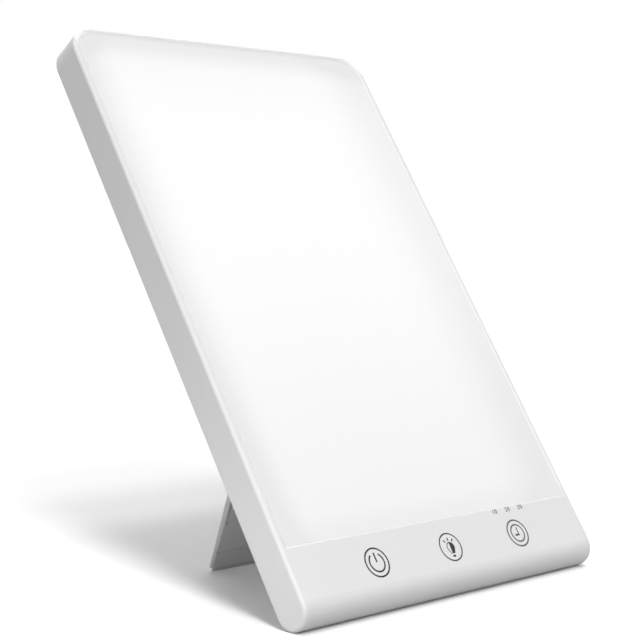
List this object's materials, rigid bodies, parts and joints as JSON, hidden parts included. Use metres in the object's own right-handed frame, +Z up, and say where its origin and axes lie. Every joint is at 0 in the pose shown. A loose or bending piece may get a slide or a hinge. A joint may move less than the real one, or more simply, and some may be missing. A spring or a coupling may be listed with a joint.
{
  "type": "light therapy lamp",
  "caption": "Thin leaning light therapy panel with an opal lit face, touch keys on a control strip and a fold-out rear stand.",
  "frame": {"origin": "on the surface that the lamp stands on, under the middle of its outline", "axes": "+Z up, the lit face looks towards -Y and up, +X along the front edge"},
  "size_m": [0.153, 0.1402, 0.2055],
  "materials": {
    "housing_white": "satin moulded white plastic",
    "opal_panel": "opal light-diffusing panel, lit",
    "film": "frosted film",
    "clear_guide": "clear acrylic",
    "reflector_white": "white reflector foil",
    "tray_aluminium": "pressed sheet",
    "strip_board": "white-lacquered board",
    "led_phosphor": "LED package",
    "circuit_green": "solder-masked circuit board",
    "conductive_foam": "conductive foam",
    "black_plastic": "black moulded plastic",
    "coil_case": "shielded coil",
    "capacitor_can": "capacitor can",
    "screw_steel": "zinc-plated screw",
    "lead_red": "insulated lead",
    "lead_white": "insulated lead",
    "pad_rubber": "pale grey silicone rubber",
    "pin_steel": "bright steel pin",
    "washer_nylon": "nylon washer"
  },
  "bodies": {
    "lamp": {"front_housing": "housing_white", "diffuser_panel": "opal_panel", "diffusion_film": "film", "light_guide": "clear_guide", "reflector_sheet": "reflector_white", "heat_tray": "tray_aluminium", "led_strip_left": "strip_board", "led_strip_right": "strip_board", "led_chips_left": "led_phosphor", "led_chips_right": "led_phosphor", "control_board": "circuit_green", "touch_pads": "conductive_foam", "timer_lights": "led_phosphor", "timer_light_block": "black_plastic", "touch_chip": "black_plastic", "driver_chip": "black_plastic", "driver_coil": "coil_case", "driver_capacitors": "capacitor_can", "board_screws": "screw_steel", "power_inlet": "black_plastic", "inlet_leads": "lead_red", "led_leads": "lead_white", "rear_cover": "housing_white", "cover_screws": "screw_steel", "front_pads": "pad_rubber", "hinge_pin": "pin_steel", "hinge_washers": "washer_nylon"},
    "stand": {"stand_leaf": "housing_white", "stand_foot_strip": "pad_rubber"}
  },
  "joints": [
    {"name": "stand_fold", "type": "hinge", "parent": "lamp", "child": "stand", "pos_m": [0, -0.00731, 0.08478], "axis": [-1, 0, 0], "range_deg": [0, 53.39]}
  ]
}
